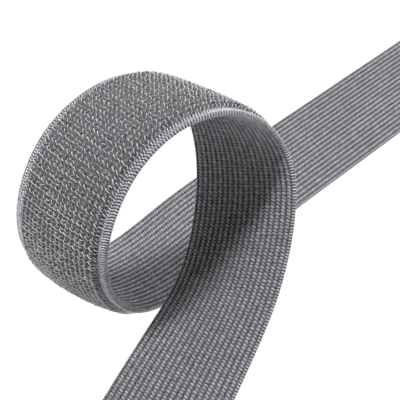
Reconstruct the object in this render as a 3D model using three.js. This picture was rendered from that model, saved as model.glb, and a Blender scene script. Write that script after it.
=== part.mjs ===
// A length of loop-faced fastening tape that lies on a table and curls over itself in one open loop.
// Millimetres. +X runs along the back tail to its free end, +Z is up, z = 0 is the table.
import * as THREE from 'three';

// Tape section: across is measured from the middle, depth down from the ribbed face.
const WIDTH = 25;
const SELVEDGE_THICKNESS = 1.2;
const FULL_THICKNESS = 2.5;
const SELVEDGE_WIDTH = 2.2;
const PILE_SHOULDER = 1.3;
const RIB_COUNT = 20;
const RIB_RELIEF = 0.25;

// The two tails lie flat on the table and run straight.
const BACK_TAIL_X = [52, 30, 10, -8, -26, -42];
const FRONT_LANDING = { x: -130.5, y: -46.5, across: -72 };
const FRONT_TAIL_RUNS = [0, 14, 28, 40];

// Guide rows of the loop, from the back tail up, over and down to the front tail.
// x, y, z: middle of the ribbed face. across, lift: heading and rise, in degrees, of the line
// from the far edge to the near edge. crown: how far the pile swells beyond its flat depth.
const LOOP = [
  { x: -55.5, y: -1, z: 3, across: -89, lift: -1, crown: 0 },
  { x: -70.5, y: -2.5, z: 3.5, across: -87, lift: 5, crown: 0 },
  { x: -86, y: -4, z: 8.5, across: -85, lift: 7, crown: 0.8 },
  { x: -95, y: -5.5, z: 19, across: -82, lift: 8, crown: 1.2 },
  { x: -98, y: -6.5, z: 33.5, across: -85, lift: 9, crown: 0.8 },
  { x: -94.5, y: -7, z: 46, across: -86, lift: 8, crown: 0.6 },
  { x: -86.5, y: -7.5, z: 55, across: -88, lift: 10, crown: 0.6 },
  { x: -74.5, y: -8.5, z: 58, across: -90, lift: 10, crown: 0.6 },
  { x: -62, y: -11, z: 53, across: -90, lift: 12, crown: 0.5 },
  { x: -57, y: -16, z: 39, across: -81, lift: 15, crown: 0.3 },
  { x: -62, y: -21.5, z: 27.5, across: -74, lift: 22, crown: 0 },
  { x: -73, y: -28, z: 19.5, across: -71, lift: 23, crown: 0 },
  { x: -85, y: -32, z: 16, across: -69, lift: 15, crown: 0 },
  { x: -99.5, y: -36.5, z: 11.5, across: -68, lift: 8, crown: 0 },
  { x: -115, y: -41.5, z: 7, across: -70, lift: 3, crown: 0 },
];

// Steps between two guide rows: a few where the tape is straight, more where it bends.
const TAIL_STEPS = 1;
const LIFT_STEPS = 3;
const LOOP_STEPS = 5;

const TAPE_COLOUR = 0x87868a;

function guideRows() {
  const back = BACK_TAIL_X.map((x) => ({ x, y: 0, z: FULL_THICKNESS, across: -90, lift: 0, crown: 0 }));
  const onwards = THREE.MathUtils.degToRad(FRONT_LANDING.across - 90);
  const front = FRONT_TAIL_RUNS.map((run) => ({
    x: FRONT_LANDING.x + run * Math.cos(onwards),
    y: FRONT_LANDING.y + run * Math.sin(onwards),
    z: FULL_THICKNESS,
    across: FRONT_LANDING.across,
    lift: 0,
    crown: 0,
  }));
  return [...back, ...LOOP, ...front];
}

// A row mirrored through its neighbour, so that the curve starts and ends on the end rows.
function beyond(row, inner) {
  const mirrored = {};
  for (const key of Object.keys(row)) mirrored[key] = 2 * row[key] - inner[key];
  return mirrored;
}

// Uniform cubic B-spline of four guide rows, with its slope along the tape.
function guideAt(rows, f) {
  const weights = [(1 - f) ** 3, 3 * f ** 3 - 6 * f ** 2 + 4, -3 * f ** 3 + 3 * f ** 2 + 3 * f + 1, f ** 3];
  const slopes = [-((1 - f) ** 2), 3 * f ** 2 - 4 * f, -3 * f ** 2 + 2 * f + 1, f ** 2];
  const mix = (key, factors, whole) => rows.reduce((sum, row, i) => sum + row[key] * factors[i], 0) / whole;
  return {
    middle: new THREE.Vector3(mix('x', weights, 6), mix('y', weights, 6), mix('z', weights, 6)),
    along: new THREE.Vector3(mix('x', slopes, 2), mix('y', slopes, 2), mix('z', slopes, 2)).normalize(),
    heading: THREE.MathUtils.degToRad(mix('across', weights, 6)),
    lift: THREE.MathUtils.degToRad(mix('lift', weights, 6)),
    crown: mix('crown', weights, 6),
  };
}

// Stations along the tape: the middle of the ribbed face, the across and up directions, and the crown.
function stations() {
  const rows = guideRows();
  const last = rows.length - 1;
  const padded = [beyond(rows[0], rows[1]), ...rows, beyond(rows[last], rows[last - 1])];
  const firstLoopRow = BACK_TAIL_X.length - 1;
  const landingRow = last - FRONT_TAIL_RUNS.length + 1;
  const result = [];
  for (let i = 0; i < last; i += 1) {
    const bends = i >= firstLoopRow && i < landingRow;
    const lifts = i === firstLoopRow - 1 || i === landingRow;
    const steps = bends ? LOOP_STEPS : lifts ? LIFT_STEPS : TAIL_STEPS;
    for (let k = 0; k < steps; k += 1) result.push(guideAt(padded.slice(i, i + 4), k / steps));
  }
  result.push(guideAt(padded.slice(last - 1, last + 3), 1));
  for (const station of result) {
    const flat = Math.cos(station.lift);
    const across = new THREE.Vector3(
      Math.cos(station.heading) * flat,
      Math.sin(station.heading) * flat,
      Math.sin(station.lift),
    );
    across.addScaledVector(station.along, -across.dot(station.along)).normalize();
    station.across = across;
    station.up = station.along.clone().cross(across);
  }
  return result;
}

// Closed outline of the tape's section as (across, height) points, starting at the far edge:
// ribs and grooves on the upper face, a round selvedge, then the pile with its crown.
function section(crown) {
  const pitch = WIDTH / RIB_COUNT;
  const radius = SELVEDGE_THICKNESS / 2;
  const half = WIDTH / 2;
  const ribs = [];
  for (let i = 0; i < RIB_COUNT; i += 1) {
    const crest = (i + 0.5) * pitch - half;
    ribs.push(new THREE.Vector2(crest, 0));
    if (i < RIB_COUNT - 1) ribs.push(new THREE.Vector2(crest + pitch / 2, -RIB_RELIEF));
  }
  const edge = [45, 0, -45].map((angle) => {
    const turn = THREE.MathUtils.degToRad(angle);
    return new THREE.Vector2(half - radius + radius * Math.cos(turn), radius * Math.sin(turn) - radius);
  });
  const pileEdge = half - SELVEDGE_WIDTH;
  const pileTop = pileEdge - PILE_SHOULDER;
  const nearUnderside = [
    new THREE.Vector2(half - radius, -SELVEDGE_THICKNESS),
    new THREE.Vector2(pileEdge, -SELVEDGE_THICKNESS),
    new THREE.Vector2(pileEdge - 0.35 * PILE_SHOULDER, -0.5 * (SELVEDGE_THICKNESS + FULL_THICKNESS)),
    new THREE.Vector2(pileTop, -FULL_THICKNESS),
    new THREE.Vector2(pileTop / 2, -FULL_THICKNESS - 0.75 * crown),
  ];
  const nearSide = [...edge, ...nearUnderside];
  const farSide = nearSide.map((p) => new THREE.Vector2(-p.x, p.y)).reverse();
  return [...ribs, ...nearSide, new THREE.Vector2(0, -FULL_THICKNESS - crown), ...farSide];
}

// The section swept through the stations as one closed skin with a square-cut cap at each end.
function sweep(path) {
  const positions = [];
  for (const { middle, across, up, crown } of path) {
    for (const point of section(crown)) {
      const vertex = middle.clone().addScaledVector(across, point.x).addScaledVector(up, point.y);
      positions.push(vertex.x, vertex.y, vertex.z);
    }
  }
  const outline = section(0);
  const size = outline.length;
  const faces = [];
  for (let i = 0; i < path.length - 1; i += 1) {
    for (let k = 0; k < size; k += 1) {
      const here = i * size + k;
      const beside = i * size + (k + 1) % size;
      faces.push(here, here + size, beside + size, here, beside + size, beside);
    }
  }
  const lastRing = (path.length - 1) * size;
  for (const [a, b, c] of THREE.ShapeUtils.triangulateShape(outline, [])) {
    faces.push(c, b, a, lastRing + a, lastRing + b, lastRing + c);
  }
  const geometry = new THREE.BufferGeometry();
  geometry.setAttribute('position', new THREE.Float32BufferAttribute(positions, 3));
  geometry.setIndex(faces);
  geometry.computeVertexNormals();
  return geometry;
}

function makeTape() {
  const material = new THREE.MeshStandardMaterial({ color: TAPE_COLOUR, roughness: 0.95, metalness: 0 });
  const tape = new THREE.Mesh(sweep(stations()), material);
  tape.name = 'tape';
  return tape;
}

const model = new THREE.Group();
model.add(makeTape());

export default model;
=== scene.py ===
# A length of loop-faced fastening tape that lies on a table and curls over itself in one open loop.
# Metres, and degrees in the tables. +X runs along the back tail to its free end, +Z is up, and
# z = 0 is the table. Along the tape a place is its run from the back end. Across it is 0 in the
# middle, plus toward the near edge. Depth is measured down from the ribbed face, through the
# cloth, to the tips of the pile.
import math
from collections import namedtuple
from functools import partial

import bpy
import numpy as np
from bpy.props import FloatProperty, FloatVectorProperty, IntProperty, PointerProperty
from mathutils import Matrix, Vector


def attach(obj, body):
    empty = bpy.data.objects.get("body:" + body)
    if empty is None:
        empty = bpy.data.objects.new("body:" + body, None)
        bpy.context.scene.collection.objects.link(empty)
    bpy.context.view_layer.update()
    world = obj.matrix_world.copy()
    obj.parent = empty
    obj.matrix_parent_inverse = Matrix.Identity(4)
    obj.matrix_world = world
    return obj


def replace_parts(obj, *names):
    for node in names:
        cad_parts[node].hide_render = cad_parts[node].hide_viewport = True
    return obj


bl_info = {
    "name": "Loop Fastening Tape",
    "version": (1, 0, 0),
    "blender": (4, 5, 0),
    "location": "3D View > Sidebar > Tape",
    "description": "Builds a curled length of tape with pile on one face and ribs on the other",
    "category": "Add Mesh",
}

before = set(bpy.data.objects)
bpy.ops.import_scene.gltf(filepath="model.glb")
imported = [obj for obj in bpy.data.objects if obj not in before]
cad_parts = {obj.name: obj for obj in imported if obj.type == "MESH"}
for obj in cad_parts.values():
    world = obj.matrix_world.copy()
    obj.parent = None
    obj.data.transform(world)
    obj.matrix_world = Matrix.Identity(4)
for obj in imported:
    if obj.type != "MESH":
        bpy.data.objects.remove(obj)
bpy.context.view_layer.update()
CAD_NODE = "tape"
BODY = "root"

MM = 0.001
TAPE_WIDTH = 25 * MM
FULL_THICKNESS = 2.5 * MM
# Width of the slope from the pile down to the bare selvedge.
PILE_SLOPE = 0.5 * MM
# How deep the foot of a stitch or a loop is sunk in the ground cloth.
RIB_SINK = 0.12 * MM
YARN_SINK = 0.15 * MM
NYLON_IOR = 1.53

# One row of the route: the middle of the ribbed face, the heading and the rise of the line from the
# far edge to the near edge, and how far the pile swells beyond its flat depth.
GuideRow = namedtuple("GuideRow", "x y z across lift crown")

# The two tails lie flat on the table and run straight.
BACK_TAIL_X = (0.052, 0.030, 0.010, -0.008, -0.026, -0.042)
FRONT_LANDING = GuideRow(-0.1305, -0.0465, FULL_THICKNESS, -72, 0, 0)
FRONT_TAIL_RUNS = (0, 0.014, 0.028, 0.040)

# The loop, from the back tail up, over and down to the front tail.
LOOP_ROWS = (
    GuideRow(-0.0555, -0.0010, 0.0030, -89, -1, 0),
    GuideRow(-0.0705, -0.0025, 0.0035, -87, 5, 0),
    GuideRow(-0.0860, -0.0040, 0.0085, -85, 7, 0.0008),
    GuideRow(-0.0950, -0.0055, 0.0190, -82, 8, 0.0012),
    GuideRow(-0.0980, -0.0065, 0.0335, -85, 9, 0.0008),
    GuideRow(-0.0945, -0.0070, 0.0460, -86, 8, 0.0006),
    GuideRow(-0.0865, -0.0075, 0.0550, -88, 10, 0.0006),
    GuideRow(-0.0745, -0.0085, 0.0580, -90, 10, 0.0006),
    GuideRow(-0.0620, -0.0110, 0.0530, -90, 12, 0.0005),
    GuideRow(-0.0570, -0.0160, 0.0390, -81, 15, 0.0003),
    GuideRow(-0.0620, -0.0215, 0.0275, -74, 22, 0),
    GuideRow(-0.0730, -0.0280, 0.0195, -71, 23, 0),
    GuideRow(-0.0850, -0.0320, 0.0160, -69, 15, 0),
    GuideRow(-0.0995, -0.0365, 0.0115, -68, 8, 0),
    GuideRow(-0.1150, -0.0415, 0.0070, -70, 3, 0),
)
STEPS_PER_ROW = 20
# Spacing of the points that the stitches follow, and of the ground cloth's sections.
PATH_STEP = 0.5 * MM
GROUND_STEP = 1.2 * MM


class RibSizes(bpy.types.PropertyGroup):
    """The ribbed inner face."""

    count: IntProperty(name="Ribs", description="Ribs across the tape", default=18, min=2)
    pitch: FloatProperty(
        name="Pitch", description="Distance between ribs",
        default=1.3 * MM, unit="LENGTH", precision=5,
    )
    stitch_pitch: FloatProperty(
        name="Stitch pitch", description="Distance between stitches along a rib",
        default=0.69 * MM, unit="LENGTH", precision=5,
    )
    stitch_length: FloatProperty(
        name="Stitch length", description="Length of one stitch across its rib",
        default=1.1 * MM, unit="LENGTH", precision=5,
    )
    stitch_width: FloatProperty(
        name="Stitch width", description="Width of one stitch",
        default=0.58 * MM, unit="LENGTH", precision=5,
    )
    slant: FloatProperty(
        name="Slant", description="How far a stitch leans from straight across",
        default=math.radians(27), subtype="ANGLE",
    )
    row_slant: FloatProperty(
        name="Row slant", description="How far a row runs along the tape for each step across it",
        default=-0.07,
    )
    relief: FloatProperty(
        name="Relief", description="Height of a stitch above the ground cloth",
        default=0.32 * MM, unit="LENGTH", precision=5,
    )
    channel: FloatProperty(
        name="Channel", description="Depth of the channel between two ribs",
        default=0.57 * MM, unit="LENGTH", precision=5,
    )
    odd_rows: FloatProperty(
        name="Odd rows",
        description="Size of every second row's stitches, as a share of the others",
        default=0.9, subtype="FACTOR", min=0, max=1,
    )


class PileSizes(bpy.types.PropertyGroup):
    """The looped outer face."""

    columns: IntProperty(name="Columns", description="Loops across the tape", default=16, min=2)
    column_pitch: FloatProperty(
        name="Column pitch", description="Distance between loops across the tape",
        default=1.25 * MM, unit="LENGTH", precision=5,
    )
    row_pitch: FloatProperty(
        name="Row pitch", description="Distance between rows of tall loops",
        default=1.7 * MM, unit="LENGTH", precision=5,
    )
    row_slant: FloatProperty(
        name="Row slant", description="How far a row runs along the tape for each step across it",
        default=0.09,
    )
    ground_depth: FloatProperty(
        name="Ground depth", description="Depth at which the loops leave the ground cloth",
        default=1.95 * MM, unit="LENGTH", precision=5,
    )
    fringe_pitch: FloatProperty(
        name="Fringe pitch", description="Distance between loops along the pile's two edges",
        default=0.85 * MM, unit="LENGTH", precision=5,
    )
    slant: FloatProperty(
        name="Slant", description="How far a loop leans from straight across",
        default=math.radians(20), subtype="ANGLE",
    )


class SelvedgeSizes(bpy.types.PropertyGroup):
    """The woven edges."""

    width: FloatProperty(
        name="Width", description="Width of the bare selvedge beside the pile",
        default=2.1 * MM, unit="LENGTH", precision=5,
    )
    thickness: FloatProperty(
        name="Thickness", description="Thickness of the selvedge",
        default=1.2 * MM, unit="LENGTH", precision=5,
    )
    stitch_pitch: FloatProperty(
        name="Stitch pitch", description="Distance between stitches along the edge",
        default=0.6 * MM, unit="LENGTH", precision=5,
    )
    relief: FloatProperty(
        name="Relief", description="Height of the stitches above the ground cloth",
        default=0.28 * MM, unit="LENGTH", precision=5,
    )
    wrap_yarn: FloatProperty(
        name="Wrap yarn", description="Thickness of the yarn that wraps the very edge",
        default=0.27 * MM, unit="LENGTH", precision=5,
    )


# One kind of pile loop: its sizes, how far its top is laid over along the tape, the spread of its
# turn in degrees, the range of its lightness from 0 to 1, and its offset in the lattice of loops,
# in pitches.
LoopKind = namedtuple(
    "LoopKind", "name span height yarn lean turn_spread tone_from tone_to row_shift column_shift",
)
FRINGE = LoopKind("fringe", 0.8 * MM, 0.5 * MM, 0.19 * MM, 0.15 * MM, 25, 0.6, 1.0, 0, 0)
# The tall loops' light tones are a painted highlight and the low loops' dark tones are painted
# shade deep in the pile; within each kind the tone differs at random.
LOOP_KINDS = (
    LoopKind("tall", 1.05 * MM, 0.42 * MM, 0.19 * MM, 0.2 * MM, 16, 0.85, 1.0, 0, 0.1),
    LoopKind("middle", 0.8 * MM, 0.34 * MM, 0.19 * MM, 0.1 * MM, 40, 0.4, 0.9, 0.5, 0.2),
    LoopKind("low", 0.75 * MM, 0.27 * MM, 0.22 * MM, 0.1 * MM, 80, 0.0, 0.4, 0.25, 0.1),
)

# One column of flat stitches under the selvedge: the length and width of a stitch, the column's
# distance in from the edge, the slant of its stitches in degrees, and its offset along the edge in
# pitches.
EdgeColumn = namedtuple("EdgeColumn", "name length width inset slant shift")
EDGE_COLUMNS = (
    EdgeColumn("inner", 1.1 * MM, 0.29 * MM, 1.75 * MM, -16, 0),
    EdgeColumn("outer", 0.8 * MM, 0.27 * MM, 0.95 * MM, 24, 0.5),
)


class TapeColours(bpy.types.PropertyGroup):
    """Yarn colours, as sRGB values from 0 to 1."""

    rib: FloatVectorProperty(
        name="Ribs", description="Yarn of the ribbed face", subtype="COLOR_GAMMA",
        default=(0.72, 0.72, 0.74),
    )
    # Much darker than the yarn: painted shade for the channels between the ribs and under the
    # loops.
    ground: FloatVectorProperty(
        name="Ground", description="Cloth between the stitches and the loops",
        subtype="COLOR_GAMMA", default=(0.395, 0.39, 0.405),
    )
    selvedge: FloatVectorProperty(
        name="Selvedge", description="Yarn of the woven edges", subtype="COLOR_GAMMA",
        default=(0.88, 0.87, 0.9),
    )
    pile: FloatVectorProperty(
        name="Pile", description="Yarn of the loops", subtype="COLOR_GAMMA",
        default=(0.64, 0.625, 0.65),
    )


class StudioSettings(bpy.types.PropertyGroup):
    """Camera and light."""

    lens: FloatProperty(
        name="Lens", description="Focal length of the camera", default=94.615, unit="CAMERA",
    )
    distance: FloatProperty(
        name="Distance", description="Distance from the camera to its target",
        default=0.25862, unit="LENGTH", precision=5,
    )
    elevation: FloatProperty(
        name="Elevation", description="Height of the camera above the table, as an angle",
        default=math.radians(44.896), subtype="ANGLE",
    )
    azimuth: FloatProperty(
        name="Azimuth", description="Turn of the camera from straight along +Y, toward +X",
        default=math.radians(44.194), subtype="ANGLE",
    )
    target: FloatVectorProperty(
        name="Target", description="Point on the table that the camera looks at",
        default=(-0.04665, 0.00739, 0), subtype="XYZ", unit="LENGTH", precision=5,
    )
    light: FloatProperty(
        name="Light", description="Strength of the lamps, as a share of their own", default=1.0,
    )
    room: FloatProperty(
        name="Room", description="Strength of the room's own light", default=0.015,
    )


# One lamp: its elevation and its heading from +X toward +Y, in degrees as seen from the tape, its
# size, and its strength at the tape.
Lamp = namedtuple("Lamp", "name elevation heading width length strength")
# The lamps' distance from the camera's target.
LAMP_DISTANCE = 1.0
LAMPS = (
    Lamp("key_strip", 77, 160, 0.1, 0.8, 2.35),
    Lamp("left_softbox", 50, 130, 0.5, 0.5, 0.5),
    Lamp("back_softbox", 50, 40, 0.5, 0.5, 0.95),
    Lamp("front_fill", 20, 295, 0.5, 0.5, 0.35),
)
# Strength of the floor's own lamp.
FLOOR_WASH = 3.7


class TapeSettings(bpy.types.PropertyGroup):
    """Everything that a user would change."""

    ribs: PointerProperty(type=RibSizes)
    pile: PointerProperty(type=PileSizes)
    selvedge: PointerProperty(type=SelvedgeSizes)
    colours: PointerProperty(type=TapeColours)
    studio: PointerProperty(type=StudioSettings)


def guide_rows():
    """Every guide row, tails included, as an array with GuideRow's columns."""
    back = [GuideRow(x, 0, FULL_THICKNESS, -90, 0, 0) for x in BACK_TAIL_X]
    onwards = math.radians(FRONT_LANDING.across - 90)
    front = [
        FRONT_LANDING._replace(
            x=FRONT_LANDING.x + run * math.cos(onwards), y=FRONT_LANDING.y + run * math.sin(onwards)
        )
        for run in FRONT_TAIL_RUNS
    ]
    return np.array([*back, *LOOP_ROWS, *front])


def unit(vectors):
    return vectors / np.linalg.norm(vectors, axis=1, keepdims=True)


class Route:
    """The tape's route: a uniform cubic B-spline of the guide rows, read at any run along it."""

    def __init__(self):
        rows = guide_rows()
        padded = np.vstack([2 * rows[0] - rows[1], rows, 2 * rows[-1] - rows[-2]])
        stations = []
        for i in range(len(rows) - 1):
            for f in np.arange(STEPS_PER_ROW) / STEPS_PER_ROW:
                stations.append(self.blend(padded[i : i + 4], f))
        stations.append(self.blend(padded[-4:], 1))
        self.stations = np.array(stations)
        steps = np.linalg.norm(np.diff(self.stations[:, :3], axis=0), axis=1)
        self.runs = np.concatenate([[0], np.cumsum(steps)])
        self.length = self.runs[-1]

    @staticmethod
    def blend(four, f):
        """Place, angles, crown and direction, a share f of the way between the middle two rows."""
        weights = np.array(
            [(1 - f) ** 3, 3 * f**3 - 6 * f**2 + 4, -3 * f**3 + 3 * f**2 + 3 * f + 1, f**3]
        ) / 6
        slopes = np.array([-((1 - f) ** 2), 3 * f**2 - 4 * f, -3 * f**2 + 2 * f + 1, f**2]) / 2
        return np.concatenate([weights @ four, slopes @ four[:, :3]])

    def at(self, runs):
        """Middle, along, across and up directions, and crown, at each run."""
        read = np.array([np.interp(runs, self.runs, column) for column in self.stations.T]).T
        along = unit(read[:, 6:9])
        heading, lift = np.radians(read[:, 3]), np.radians(read[:, 4])
        across = np.stack(
            [np.cos(heading) * np.cos(lift), np.sin(heading) * np.cos(lift), np.sin(lift)], 1
        )
        across = unit(across - along * np.sum(across * along, 1, keepdims=True))
        return read[:, :3], along, across, np.cross(along, across), read[:, 5]


def settings():
    return bpy.context.scene.fastening_tape


def srgb(colour):
    """An sRGB colour, from 0 to 1, as a linear one with alpha."""
    linear = [c / 12.92 if c <= 0.04045 else ((c + 0.055) / 1.055) ** 2.4 for c in colour]
    return (*linear, 1.0)


def add_node(tree, kind, inputs=None, **options):
    """Adds a node with its options, and fills its inputs with sockets or plain values."""
    node = tree.nodes.new(kind)
    for name, value in options.items():
        setattr(node, name, value)
    for name, value in (inputs or {}).items():
        if isinstance(value, bpy.types.NodeSocket):
            tree.links.new(value, node.inputs[name])
        else:
            node.inputs[name].default_value = value
    return node


def link_object(name, mesh):
    made = bpy.data.objects.new(name, mesh)
    bpy.context.scene.collection.objects.link(made)
    return made


def linked_set(name, member, state):
    """A collection for light linking, with one member that is let in or left out."""
    made = bpy.data.collections.new(name)
    made.objects.link(member)
    made.collection_objects[0].light_linking.link_state = state
    return made


def smooth_mesh(name, vertices, faces):
    mesh = bpy.data.meshes.new(name)
    mesh.from_pydata([tuple(v) for v in vertices], [], faces)
    mesh.shade_smooth()
    return mesh


def add_map(mesh, name, points):
    """Gives a mesh a UV map whose value at each corner is its vertex's."""
    layer = mesh.uv_layers.new(name=name)
    corner_vertices = np.zeros(len(mesh.loops), np.int32)
    mesh.loops.foreach_get("vertex_index", corner_vertices)
    layer.uv.foreach_set("vector", np.asarray(points, np.float32)[corner_vertices].ravel())


def finish_piece(piece):
    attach(piece, BODY)
    return piece


# Materials

def yarn_material(name, colour, variation, roughness, sheen, twist):
    """Nylon yarn: many fine filaments side by side, so it is matt with a soft sheen at a glancing
    angle. The stitches differ a little in lightness at random, and the filaments run along each
    stitch with a slight twist. Where a caller sets the tones by the kind of stitch, as the pile
    does, the light end is a painted highlight and the dark end painted shade."""
    cloud_size, filament_width, filament_relief = 6 * MM, 0.07 * MM, 0.03 * MM
    # How much narrower than long the streaks of filament are, and how strongly the clouds of
    # lightness add to a stitch's own tone.
    streak, cloud_share = 0.12, 0.3
    material = bpy.data.materials.new(name)
    material.use_nodes = True
    node = partial(add_node, material.node_tree)
    shader = material.node_tree.nodes["Principled BSDF"]
    place = node("ShaderNodeTexCoord").outputs["Object"]
    thread = node("ShaderNodeUVMap", uv_map="thread").outputs["UV"]
    tone = node("ShaderNodeAttribute", attribute_name="tone", attribute_type="GEOMETRY")
    tone = tone.outputs["Fac"]
    clouds = node("ShaderNodeTexNoise", {"Vector": place, "Scale": 1 / cloud_size, "Detail": 2.0})
    shade = node(
        "ShaderNodeMath", {0: clouds.outputs["Fac"], 1: cloud_share, 2: tone},
        operation="MULTIPLY_ADD",
    )
    share = node(
        "ShaderNodeMapRange",
        {"Value": shade.outputs[0], "From Min": 0.0, "From Max": 1.0 + cloud_share},
    )
    dark = srgb([c * (1 - variation) for c in colour])
    light = srgb([min(1, c * (1 + variation)) for c in colour])
    mix = node(
        "ShaderNodeMix", {"Factor": share.outputs[0], 6: dark, 7: light}, data_type="RGBA",
    )
    turned = node(
        "ShaderNodeMapping",
        {"Vector": thread, "Rotation": (0, 0, twist), "Scale": (streak, 1, 1)},
    )
    filaments = node(
        "ShaderNodeTexNoise",
        {"Vector": turned.outputs[0], "Scale": 1 / filament_width, "Detail": 2.0},
    )
    bump = node(
        "ShaderNodeBump",
        {"Height": filaments.outputs["Fac"], "Strength": 0.5, "Distance": filament_relief},
    )
    material.node_tree.links.new(mix.outputs[2], shader.inputs["Base Color"])
    material.node_tree.links.new(bump.outputs[0], shader.inputs["Normal"])
    shader.inputs["Roughness"].default_value = roughness
    shader.inputs["IOR"].default_value = NYLON_IOR
    shader.inputs["Sheen Weight"].default_value = sheen
    shader.inputs["Sheen Roughness"].default_value = 0.4
    return material


def ground_material(name, colour):
    """Nylon ground cloth: tight, plain and matt, with fine threads across it. Its dark colour is
    painted shade for the channels between the stitches and the floor under the loops."""
    fibre_size, thread_pitch, thread_relief = 0.45 * MM, 0.4 * MM, 0.05 * MM
    # At a scale of 1 the wave texture turns by 20 radians for each metre.
    wave_turn = 20
    material = bpy.data.materials.new(name)
    material.use_nodes = True
    node = partial(add_node, material.node_tree)
    shader = material.node_tree.nodes["Principled BSDF"]
    cloth = node("ShaderNodeUVMap", uv_map="cloth").outputs["UV"]
    fibres = node("ShaderNodeTexNoise", {"Vector": cloth, "Scale": 1 / fibre_size, "Detail": 2.0})
    share = node(
        "ShaderNodeMapRange", {"Value": fibres.outputs["Fac"], "From Min": 0.35, "From Max": 0.65},
    )
    dark, light = srgb([c * 0.7 for c in colour]), srgb([c * 1.3 for c in colour])
    mix = node(
        "ShaderNodeMix", {"Factor": share.outputs[0], 6: dark, 7: light}, data_type="RGBA",
    )
    threads = node(
        "ShaderNodeTexWave",
        {"Vector": cloth, "Scale": math.tau / wave_turn / thread_pitch, "Distortion": 1.5},
        bands_direction="X",
    )
    bump = node(
        "ShaderNodeBump",
        {"Height": threads.outputs["Fac"], "Strength": 0.6, "Distance": thread_relief},
    )
    material.node_tree.links.new(mix.outputs[2], shader.inputs["Base Color"])
    material.node_tree.links.new(bump.outputs[0], shader.inputs["Normal"])
    shader.inputs["Roughness"].default_value = 0.9
    shader.inputs["IOR"].default_value = NYLON_IOR
    return material


def paper_material():
    """Matt white paper sweep: plain and pale, with no gloss."""
    material = bpy.data.materials.new("matt_paper_sweep")
    material.use_nodes = True
    shader = material.node_tree.nodes["Principled BSDF"]
    shader.inputs["Base Color"].default_value = srgb((0.96, 0.96, 0.96))
    shader.inputs["Roughness"].default_value = 1.0
    shader.inputs["Specular IOR Level"].default_value = 0.0
    return material


# The ground cloth

def ground_section(crown):
    """The ground cloth's closed outline as (across, depth) points, from the far edge over the ribs
    to the near edge, then back under the pile."""
    # The flat top's half width, as a share of the ribs' pitch, and how much of the wrapping yarn is
    # outside the ground cloth.
    rib_top, wrap_share = 0.34, 0.6
    sizes = settings()
    pitch = sizes.ribs.pitch
    half = TAPE_WIDTH / 2
    outline = []
    for i in range(sizes.ribs.count):
        middle = (i - (sizes.ribs.count - 1) / 2) * pitch
        outline.append((middle - pitch / 2, sizes.ribs.channel))
        outline.append((middle - pitch * rib_top, sizes.ribs.relief))
        outline.append((middle + pitch * rib_top, sizes.ribs.relief))
    outline.append((middle + pitch / 2, sizes.ribs.channel))
    centre = sizes.selvedge.thickness / 2
    radius = centre - sizes.selvedge.wrap_yarn * wrap_share
    edge = half - centre
    near = [
        (edge + radius * math.cos(turn), centre - radius * math.sin(turn))
        for turn in np.radians([90, 60, 30, 0, -30, -60])
    ]
    under = sizes.selvedge.thickness - sizes.selvedge.relief
    pile_edge = half - sizes.selvedge.width
    near += [(edge, under), (pile_edge, under)]
    for share in (1.0, 0.75, 0.5, 0.25):
        across = share * (pile_edge - PILE_SLOPE)
        near.append((across, sizes.pile.ground_depth + crown * (1 - share**2)))
    far = [(-across, depth) for across, depth in reversed(near)]
    return outline + near + [(0, sizes.pile.ground_depth + crown)] + far


def make_ground():
    route = Route()
    runs = np.linspace(0, route.length, round(route.length / GROUND_STEP) + 1)
    middle, along, across, up, crown = route.at(runs)
    vertices, cloth = [], []
    for i, run in enumerate(runs):
        section = ground_section(crown[i])
        for aside, depth in section:
            vertices.append(middle[i] + across[i] * aside - up[i] * depth)
            cloth.append((run, aside))
    size = len(section)
    faces = []
    for i in range(len(runs) - 1):
        for k in range(size):
            here, beside = i * size + k, i * size + (k + 1) % size
            faces.append((here, here + size, beside + size, beside))
    last = (len(runs) - 1) * size
    faces.append(tuple(range(size)))
    faces.append(tuple(last + k for k in reversed(range(size))))
    mesh = smooth_mesh("tape_ground", vertices, faces)
    add_map(mesh, "cloth", cloth)
    return link_object("tape_ground", mesh)


# Stitches and loops

def path_object(route):
    """The route as a line of points that carry its directions, for the stitches to follow."""
    runs = np.linspace(0, route.length, round(route.length / PATH_STEP) + 1)
    middle, along, across, up, crown = route.at(runs)
    mesh = bpy.data.meshes.new("route")
    mesh.from_pydata([tuple(p) for p in middle], [(i, i + 1) for i in range(len(runs) - 1)], [])
    for name, values in (("along", along), ("across", across), ("up", up)):
        attribute = mesh.attributes.new(name, "FLOAT_VECTOR", "POINT")
        attribute.data.foreach_set("vector", values.astype(np.float32).ravel())
    attribute = mesh.attributes.new("crown", "FLOAT", "POINT")
    attribute.data.foreach_set("value", crown.astype(np.float32))
    return link_object("route", mesh)


SCATTER_INPUTS = (
    ("Path", "NodeSocketGeometry", None),
    ("Stitch", "NodeSocketObject", None),
    ("Finish", "NodeSocketMaterial", None),
    ("Rows", "NodeSocketInt", 1),
    ("Columns", "NodeSocketInt", 1),
    ("Row Pitch", "NodeSocketFloat", MM),
    ("Column Pitch", "NodeSocketFloat", MM),
    ("First Row", "NodeSocketFloat", 0.0),
    ("First Column", "NodeSocketFloat", 0.0),
    ("Row Slant", "NodeSocketFloat", 0.0),
    ("Length", "NodeSocketFloat", 1.0),
    ("Depth", "NodeSocketFloat", 0.0),
    ("Crown Share", "NodeSocketFloat", 0.0),
    ("Crown Half Width", "NodeSocketFloat", 1.0),
    ("Roll", "NodeSocketFloat", 0.0),
    ("Turn", "NodeSocketFloat", 0.0),
    ("Place Spread", "NodeSocketFloat", 0.0),
    ("Lean Spread", "NodeSocketFloat", 0.0),
    ("Turn Spread", "NodeSocketFloat", 0.0),
    ("Size Spread", "NodeSocketFloat", 0.0),
    ("Odd Rows", "NodeSocketFloat", 1.0),
    ("Tone From", "NodeSocketFloat", 0.0),
    ("Tone To", "NodeSocketFloat", 1.0),
    ("Seed", "NodeSocketInt", 0),
)


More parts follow.
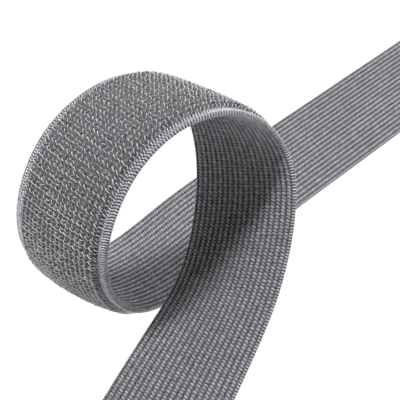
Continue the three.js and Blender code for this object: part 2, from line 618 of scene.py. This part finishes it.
def scatter_tree():
    """Rows and columns of one stitch on the route. Each stitch stands on the tape with its own z
    axis turned by Roll about the tape's length, and is turned by Turn about that axis."""
    tree = bpy.data.node_groups.new("stitches_on_route", "GeometryNodeTree")
    tree.interface.new_socket("Stitches", in_out="OUTPUT", socket_type="NodeSocketGeometry")
    for name, kind, default in SCATTER_INPUTS:
        socket = tree.interface.new_socket(name, in_out="INPUT", socket_type=kind)
        if default is not None:
            socket.default_value = default
    node = partial(add_node, tree)
    given = node("NodeGroupInput").outputs

    # Random values for each stitch: a triple from -1 to 1 for its place and size, another for its
    # tilt, and its tone.
    seeds = [
        node("FunctionNodeIntegerMath", {0: given["Seed"], 1: i}, operation="ADD") for i in range(3)
    ]
    place, tilt = (
        node(
            "FunctionNodeRandomValue", {0: (-1, -1, -1), 1: (1, 1, 1), "Seed": seed.outputs[0]},
            data_type="FLOAT_VECTOR",
        ).outputs[0]
        for seed in seeds[:2]
    )
    tone = node(
        "FunctionNodeRandomValue",
        {2: given["Tone From"], 3: given["Tone To"], "Seed": seeds[2].outputs[0]},
        data_type="FLOAT",
    ).outputs[1]
    shift = node(
        "ShaderNodeVectorMath", {0: place, 1: given["Place Spread"]}, operation="MULTIPLY"
    ).outputs[0]
    shift = node("ShaderNodeSeparateXYZ", {0: shift}).outputs

    # The stitch's place across the tape and its run along it.
    index = node("GeometryNodeInputIndex").outputs[0]
    row = node(
        "FunctionNodeIntegerMath", {0: index, 1: given["Columns"]}, operation="DIVIDE_FLOOR"
    ).outputs[0]
    column = node(
        "FunctionNodeIntegerMath", {0: index, 1: given["Columns"]}, operation="MODULO"
    ).outputs[0]
    aside = node(
        "ShaderNodeMath", {0: column, 1: given["Column Pitch"], 2: given["First Column"]},
        operation="MULTIPLY_ADD",
    ).outputs[0]
    aside = node("ShaderNodeMath", {0: aside, 1: shift[0]}, operation="ADD").outputs[0]
    run = node(
        "ShaderNodeMath", {0: row, 1: given["Row Pitch"], 2: given["First Row"]},
        operation="MULTIPLY_ADD",
    ).outputs[0]
    run = node(
        "ShaderNodeMath", {0: aside, 1: given["Row Slant"], 2: run}, operation="MULTIPLY_ADD"
    ).outputs[0]
    run = node("ShaderNodeMath", {0: run, 1: shift[1]}, operation="ADD").outputs[0]

    # The route there.
    line = node("GeometryNodeMeshToCurve", {0: given["Path"]}).outputs[0]
    read = {}
    for name in ("along", "across", "up", "crown"):
        kind = "FLOAT" if name == "crown" else "FLOAT_VECTOR"
        value = node("GeometryNodeInputNamedAttribute", {"Name": name}, data_type=kind).outputs[0]
        sample = node(
            "GeometryNodeSampleCurve", {"Curves": line, "Value": value, "Length": run},
            data_type=kind, mode="LENGTH",
        )
        read[name] = sample.outputs[0]
    middle = sample.outputs["Position"]
    share = node(
        "ShaderNodeMath", {0: aside, 1: given["Crown Half Width"]}, operation="DIVIDE"
    ).outputs[0]
    share = node("ShaderNodeMath", {0: share, 1: 2.0}, operation="POWER").outputs[0]
    share = node("ShaderNodeMath", {0: 1.0, 1: share}, operation="SUBTRACT").outputs[0]
    share = node(
        "ShaderNodeMath", {0: share, 1: given["Crown Share"]}, operation="MULTIPLY"
    ).outputs[0]
    depth = node(
        "ShaderNodeMath", {0: share, 1: read["crown"], 2: given["Depth"]}, operation="MULTIPLY_ADD"
    ).outputs[0]
    above = node("ShaderNodeMath", {0: depth, 1: -1.0}, operation="MULTIPLY").outputs[0]
    position = node(
        "ShaderNodeVectorMath", {0: read["across"], 1: aside, 2: middle}, operation="MULTIPLY_ADD"
    ).outputs[0]
    position = node(
        "ShaderNodeVectorMath", {0: read["up"], 1: above, 2: position}, operation="MULTIPLY_ADD"
    ).outputs[0]

    # A stitch whose place is off either end of the tape is left out.
    limit = node(
        "ShaderNodeMath", {0: given["Length"], 1: given["Row Pitch"]}, operation="SUBTRACT"
    ).outputs[0]
    before = node(
        "FunctionNodeCompare", {0: run, 1: given["Row Pitch"]}, operation="LESS_THAN"
    ).outputs[0]
    after = node("FunctionNodeCompare", {0: run, 1: limit}, operation="GREATER_THAN").outputs[0]
    outside = node("FunctionNodeBooleanMath", {0: before, 1: after}, operation="OR").outputs[0]

    # Its stand on the tape.
    roll = node(
        "FunctionNodeAxisAngleToRotation", {"Axis": read["along"], "Angle": given["Roll"]}
    ).outputs[0]
    outward = node("FunctionNodeRotateVector", {"Vector": read["up"], "Rotation": roll}).outputs[0]
    stand = node(
        "FunctionNodeAxesToRotation", {0: outward, 1: read["along"]},
        primary_axis="Z", secondary_axis="X",
    ).outputs[0]
    spreads = node(
        "ShaderNodeCombineXYZ",
        {0: given["Lean Spread"], 1: given["Lean Spread"], 2: given["Turn Spread"]},
    ).outputs[0]
    turn = node("ShaderNodeCombineXYZ", {2: given["Turn"]}).outputs[0]
    turn = node(
        "ShaderNodeVectorMath", {0: tilt, 1: spreads, 2: turn}, operation="MULTIPLY_ADD"
    ).outputs[0]
    turn = node("FunctionNodeEulerToRotation", {0: turn}).outputs[0]
    rotation = node(
        "FunctionNodeRotateRotation", {0: stand, 1: turn}, rotation_space="LOCAL"
    ).outputs[0]

    # Its size: a little at random, and every second row scaled.
    size = node("ShaderNodeSeparateXYZ", {0: place}).outputs[2]
    size = node(
        "ShaderNodeMath", {0: size, 1: given["Size Spread"], 2: 1.0}, operation="MULTIPLY_ADD"
    ).outputs[0]
    odd = node("FunctionNodeIntegerMath", {0: row, 1: 2}, operation="MODULO").outputs[0]
    share = node(
        "ShaderNodeMix", {0: odd, 2: 1.0, 3: given["Odd Rows"]}, data_type="FLOAT"
    ).outputs[0]
    size = node("ShaderNodeMath", {0: size, 1: share}, operation="MULTIPLY").outputs[0]

    count = node(
        "FunctionNodeIntegerMath", {0: given["Rows"], 1: given["Columns"]}, operation="MULTIPLY"
    ).outputs[0]
    points = node("GeometryNodePoints", {"Count": count, "Position": position}).outputs[0]
    kept = {}
    for name, kind, value in (
        ("stand_turn", "QUATERNION", rotation),
        ("stand_size", "FLOAT", size),
        ("tone", "FLOAT", tone),
        ("outside", "BOOLEAN", outside),
    ):
        points = node(
            "GeometryNodeStoreNamedAttribute", {"Geometry": points, "Name": name, "Value": value},
            data_type=kind, domain="POINT",
        ).outputs[0]
        stored = node("GeometryNodeInputNamedAttribute", {"Name": name}, data_type=kind)
        kept[name] = stored.outputs[0]
    points = node(
        "GeometryNodeDeleteGeometry", {0: points, 1: kept["outside"]}, domain="POINT",
    ).outputs[0]
    stitch = node("GeometryNodeObjectInfo", {0: given["Stitch"]}).outputs["Geometry"]
    solid = node(
        "GeometryNodeInstanceOnPoints",
        {
            "Points": points, "Instance": stitch,
            "Rotation": kept["stand_turn"], "Scale": kept["stand_size"],
        },
    ).outputs[0]
    solid = node("GeometryNodeRealizeInstances", {0: solid}).outputs[0]
    for name in ("stand_turn", "stand_size", "outside"):
        solid = node("GeometryNodeRemoveAttribute", {0: solid, "Name": name}).outputs[0]
    solid = node("GeometryNodeSetMaterial", {0: solid, "Material": given["Finish"]}).outputs[0]
    node("NodeGroupOutput", {0: solid})
    return tree


def scatter(name, stitch, material, **values):
    """A plain mesh of the stitch in rows and columns on the route. Names of values are the tree's
    inputs."""
    route = Route()
    host = path_object(route)
    tree = bpy.data.node_groups.get("stitches_on_route") or scatter_tree()
    items = tree.interface.items_tree
    sockets = {item.name: item.identifier for item in items if item.in_out == "INPUT"}
    modifier = host.modifiers.new("stitches", "NODES")
    modifier.node_group = tree
    given = {key.replace("_", " ").title(): value for key, value in values.items()}
    given.update({"Stitch": stitch, "Finish": material, "Length": route.length})
    pitch = given["Row Pitch"]
    # The rows slant, so they start before the tape's end and go on past the other.
    given["Rows"] = math.ceil((route.length + TAPE_WIDTH) / pitch)
    given["First Row"] = given.get("First Row", 0.0) - round(TAPE_WIDTH / 2 / pitch) * pitch
    for key, value in given.items():
        modifier[sockets[key]] = value
    evaluated = host.evaluated_get(bpy.context.evaluated_depsgraph_get())
    mesh = bpy.data.meshes.new_from_object(evaluated)
    mesh.name = name
    bpy.data.objects.remove(host)
    if not mesh.polygons:
        raise RuntimeError(f"{name} came out empty")
    return link_object(name, mesh)


def dome(name, length, width, height, sink):
    """A stitch: a low rounded grain, long across the tape, with its base sunk in the cloth."""
    # A blunt power under 1 squares the outline's ends.
    sides, blunt = 8, 0.8
    rings = ((1.0, -sink), (0.78, height * 0.72))
    vertices = []
    for share, z in rings:
        for k in range(sides):
            turn = math.tau * k / sides
            x = math.copysign(abs(math.cos(turn)) ** blunt, math.cos(turn)) * width / 2 * share
            y = math.copysign(abs(math.sin(turn)) ** blunt, math.sin(turn)) * length / 2 * share
            vertices.append((x, y, z))
    vertices.append((0, 0, height))
    faces = [tuple(reversed(range(sides)))]
    for ring in range(len(rings) - 1):
        for k in range(sides):
            a, b = ring * sides + k, ring * sides + (k + 1) % sides
            faces.append((a, b, b + sides, a + sides))
    top = (len(rings) - 1) * sides
    faces += [(top + k, top + (k + 1) % sides, top + sides) for k in range(sides)]
    mesh = smooth_mesh(name, vertices, faces)
    add_map(mesh, "thread", [(y, x) for x, y, z in vertices])
    return link_object(name, mesh)


def loop_of_yarn(name, span, height, yarn, sink=0.0, lean=0.0, fullness=0.6):
    """Yarn that leaves the cloth, arches across the tape and goes back in. A fullness of 1 makes a
    round arch, and less makes a flatter one. Lean lays its top over along the tape."""
    sides, segments = 4, 5
    centres = []
    for k in range(segments + 1):
        turn = math.pi * k / segments
        rise = math.sin(turn) ** fullness
        above = (height - yarn / 2 + sink) * rise - sink
        centres.append(Vector((lean * rise, -span / 2 * math.cos(turn), above)))
    vertices, thread = [], []
    run = 0.0
    for k, centre in enumerate(centres):
        ahead = (centres[min(k + 1, segments)] - centres[max(k - 1, 0)]).normalized()
        side = Vector((1, 0, 0)).cross(ahead).normalized()
        other = ahead.cross(side)
        if k:
            run += (centre - centres[k - 1]).length
        for j in range(sides):
            turn = math.tau * j / sides
            vertices.append(centre + (side * math.cos(turn) + other * math.sin(turn)) * yarn / 2)
            thread.append((run, j / sides * yarn * math.pi))
    faces = [tuple(reversed(range(sides)))]
    for k in range(segments):
        for j in range(sides):
            a, b = k * sides + j, k * sides + (j + 1) % sides
            faces.append((a, b, b + sides, a + sides))
    faces.append(tuple(segments * sides + j for j in range(sides)))
    mesh = smooth_mesh(name, vertices, faces)
    add_map(mesh, "thread", thread)
    return link_object(name, mesh)


class TAPE_OT_stage(bpy.types.Operator):
    """Make the camera, the pale floor and the soft light"""

    bl_idname = "fastening_tape.stage"
    bl_label = "Stage"

    def execute(self, context):
        studio = settings().studio
        scene = context.scene
        scene.view_settings.view_transform = "Standard"
        eye = bpy.data.cameras.new("camera")
        eye.sensor_width = 36
        eye.lens = studio.lens
        eye.clip_start, eye.clip_end = 0.01, 10
        camera = link_object("camera", eye)
        flat = math.cos(studio.elevation)
        back = Vector((
            -math.sin(studio.azimuth) * flat, -math.cos(studio.azimuth) * flat,
            math.sin(studio.elevation),
        ))
        camera.location = Vector(studio.target) + back * studio.distance
        camera.rotation_euler = (-back).to_track_quat("-Z", "Y").to_euler()
        scene.camera = camera

        reach, drop = 3.0, -0.1 * MM
        signs = ((-1, -1), (1, -1), (1, 1), (-1, 1))
        corners = [(reach * x, reach * y, drop) for x, y in signs]
        floor = link_object("floor", smooth_mesh("floor", corners, [(0, 1, 2, 3)]))
        floor.data.materials.append(paper_material())

        # The paper has a lamp of its own: it is an even white and the tape casts no shadow on it.
        wash = bpy.data.lights.new("floor_wash", "SUN")
        wash.energy = FLOOR_WASH
        floor_wash = link_object("floor_wash", wash)
        linking = floor_wash.light_linking
        linking.receiver_collection = linked_set("floor_wash_lit", floor, "INCLUDE")
        linking.blocker_collection = linked_set("floor_wash_blockers", floor, "INCLUDE")
        lamps_lit = linked_set("lamps_lit", floor, "EXCLUDE")
        for row in LAMPS:
            lamp = bpy.data.lights.new(row.name, "AREA")
            lamp.shape = "RECTANGLE"
            lamp.size, lamp.size_y = row.width, row.length
            lamp.energy = math.pi * LAMP_DISTANCE**2 * row.strength * studio.light
            made = link_object(row.name, lamp)
            rise, heading = math.radians(row.elevation), math.radians(row.heading)
            flat = math.cos(rise)
            toward = Vector((math.cos(heading) * flat, math.sin(heading) * flat, math.sin(rise)))
            made.location = Vector(studio.target) + toward * LAMP_DISTANCE
            made.rotation_euler = toward.to_track_quat("Z", "Y").to_euler()
            made.visible_camera = False
            made.light_linking.receiver_collection = lamps_lit

        world = bpy.data.worlds.new("room")
        world.use_nodes = True
        background = world.node_tree.nodes["Background"]
        background.inputs["Color"].default_value = srgb((1, 1, 1))
        background.inputs["Strength"].default_value = studio.room
        scene.world = world
        return {"FINISHED"}


class TAPE_OT_ground(bpy.types.Operator):
    """Make the ground cloth that carries the ribs and the pile"""

    bl_idname = "fastening_tape.ground"
    bl_label = "Ground cloth"

    def execute(self, context):
        ground = make_ground()
        # The ground's dark colour is painted shade between the stitches and under the loops.
        colour = settings().colours.ground
        ground.data.materials.append(ground_material("nylon_ground_cloth", colour))
        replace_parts(finish_piece(ground), CAD_NODE)
        return {"FINISHED"}


class TAPE_OT_ribs(bpy.types.Operator):
    """Make the slanted stitches of the ribs"""

    bl_idname = "fastening_tape.ribs"
    bl_label = "Rib stitches"

    def execute(self, context):
        ribs = settings().ribs
        material = yarn_material(
            "nylon_rib_yarn", settings().colours.rib,
            variation=0.1, roughness=0.6, sheen=0.15, twist=math.radians(20),
        )
        stitch = dome("rib_stitch", ribs.stitch_length, ribs.stitch_width, ribs.relief, RIB_SINK)
        half = ribs.count // 2
        for side, first, seed in (("far", -(ribs.count - 1) / 2, 16), ("near", 0.5, 17)):
            piece = scatter(
                f"rib_stitches_{side}", stitch, material,
                columns=half, row_pitch=ribs.stitch_pitch, column_pitch=ribs.pitch,
                first_column=first * ribs.pitch, row_slant=ribs.row_slant, depth=ribs.relief,
                turn=-ribs.slant, place_spread=0.04 * MM, lean_spread=math.radians(5),
                turn_spread=math.radians(8), size_spread=0.08, odd_rows=ribs.odd_rows, seed=seed,
            )
            finish_piece(piece)
        bpy.data.objects.remove(stitch)
        return {"FINISHED"}


class TAPE_OT_pile(bpy.types.Operator):
    """Make the rows of pile loops"""

    bl_idname = "fastening_tape.pile"
    bl_label = "Pile loops"

    def execute(self, context):
        pile = settings().pile
        # The wide variation spreads the pile from painted shade on the low loops to a painted
        # highlight on the tall ones.
        material = yarn_material(
            "nylon_pile_yarn", settings().colours.pile,
            variation=0.58, roughness=0.4, sheen=0.25, twist=math.radians(15),
        )
        edge = settings().selvedge
        for order, kind in enumerate(LOOP_KINDS):
            stitch = loop_of_yarn(
                f"{kind.name}_loop", kind.span, kind.height, kind.yarn, YARN_SINK, kind.lean
            )
            first_column = (kind.column_shift - (pile.columns - 1) / 2) * pile.column_pitch
            piece = scatter(
                f"pile_{kind.name}", stitch, material,
                columns=pile.columns, row_pitch=pile.row_pitch, column_pitch=pile.column_pitch,
                first_row=kind.row_shift * pile.row_pitch, first_column=first_column,
                row_slant=pile.row_slant, depth=pile.ground_depth, crown_share=1.0,
                crown_half_width=TAPE_WIDTH / 2 - edge.width, roll=math.pi, turn=-pile.slant,
                place_spread=0.1 * MM, lean_spread=math.radians(12),
                turn_spread=math.radians(kind.turn_spread), size_spread=0.15,
                tone_from=kind.tone_from, tone_to=kind.tone_to, seed=20 + 5 * order,
            )
            finish_piece(piece)
            bpy.data.objects.remove(stitch)

        # Loops on the slopes at the pile's two edges point down and outward.
        stitch = loop_of_yarn(
            "fringe_loop", FRINGE.span, FRINGE.height, FRINGE.yarn, YARN_SINK, FRINGE.lean
        )
        slope = TAPE_WIDTH / 2 - edge.width - PILE_SLOPE / 2
        for side, name in ((-1, "far"), (1, "near")):
            piece = scatter(
                f"pile_fringe_{name}", stitch, material,
                row_pitch=pile.fringe_pitch, first_column=side * slope,
                depth=(edge.thickness - edge.relief + pile.ground_depth) / 2,
                roll=math.pi + side * math.radians(50), turn=-pile.slant, place_spread=0.1 * MM,
                lean_spread=math.radians(10), turn_spread=math.radians(FRINGE.turn_spread),
                size_spread=0.1, tone_from=FRINGE.tone_from, tone_to=FRINGE.tone_to,
                seed=40 + side * 5,
            )
            finish_piece(piece)
        bpy.data.objects.remove(stitch)
        return {"FINISHED"}


class TAPE_OT_selvedge(bpy.types.Operator):
    """Make the plaited stitches of the two selvedges"""

    bl_idname = "fastening_tape.selvedge"
    bl_label = "Selvedge stitches"

    def execute(self, context):
        edge = settings().selvedge
        material = yarn_material(
            "nylon_selvedge_yarn", settings().colours.selvedge,
            variation=0.1, roughness=0.5, sheen=0.25, twist=math.radians(15),
        )
        for side, name in ((-1, "far"), (1, "near")):
            for column in EDGE_COLUMNS:
                stitch = dome(
                    "selvedge_stitch", column.length, column.width, edge.relief, YARN_SINK
                )
                piece = scatter(
                    f"selvedge_{column.name}_{name}", stitch, material,
                    row_pitch=edge.stitch_pitch, first_row=column.shift * edge.stitch_pitch,
                    first_column=side * (TAPE_WIDTH / 2 - column.inset),
                    depth=edge.thickness - edge.relief, roll=math.pi,
                    turn=side * math.radians(column.slant), place_spread=0.03 * MM,
                    lean_spread=math.radians(5), turn_spread=math.radians(6), size_spread=0.05,
                    seed=50 + side * 5,
                )
                finish_piece(piece)
                bpy.data.objects.remove(stitch)
            half = edge.thickness / 2
            wrap = loop_of_yarn(
                "selvedge_wrap", 2 * half - edge.wrap_yarn, half, edge.wrap_yarn, fullness=1.0
            )
            piece = scatter(
                f"selvedge_wrap_{name}", wrap, material,
                row_pitch=edge.stitch_pitch, first_column=side * (TAPE_WIDTH / 2 - half),
                depth=half, roll=-side * math.pi / 2, turn_spread=math.radians(3),
                seed=60 + side * 5,
            )
            finish_piece(piece)
            bpy.data.objects.remove(wrap)
        return {"FINISHED"}


class TAPE_OT_declare(bpy.types.Operator):
    """Does nothing: the tape's flat size is not stated"""

    bl_idname = "fastening_tape.declare"
    bl_label = "Declare the cloth"

    def execute(self, context):
        return {"FINISHED"}


STEPS = (
    TAPE_OT_stage, TAPE_OT_ground, TAPE_OT_ribs, TAPE_OT_pile, TAPE_OT_selvedge, TAPE_OT_declare,
)


class TAPE_PT_panel(bpy.types.Panel):
    """Lists the tape's settings and operators"""

    bl_idname = "TAPE_PT_panel"
    bl_label = "Loop Fastening Tape"
    bl_space_type = "VIEW_3D"
    bl_region_type = "UI"
    bl_category = "Tape"

    def draw(self, context):
        for group_name in ("ribs", "pile", "selvedge", "colours", "studio"):
            group = getattr(context.scene.fastening_tape, group_name)
            box = self.layout.box()
            for name in group.bl_rna.properties.keys():
                if name not in ("rna_type", "name"):
                    box.prop(group, name)
        for step in STEPS:
            self.layout.operator(step.bl_idname)


GROUPS = (RibSizes, PileSizes, SelvedgeSizes, TapeColours, StudioSettings, TapeSettings)


def register():
    for item in (*GROUPS, *STEPS, TAPE_PT_panel):
        bpy.utils.register_class(item)
    bpy.types.Scene.fastening_tape = PointerProperty(type=TapeSettings)


def unregister():
    del bpy.types.Scene.fastening_tape
    for item in (TAPE_PT_panel, *reversed(STEPS), *reversed(GROUPS)):
        bpy.utils.unregister_class(item)


def main():
    register()
    bpy.ops.fastening_tape.stage()
    bpy.ops.fastening_tape.ground()
    bpy.ops.fastening_tape.ribs()
    bpy.ops.fastening_tape.pile()
    bpy.ops.fastening_tape.selvedge()
    bpy.ops.fastening_tape.declare()


if __name__ == "__main__":
    main()
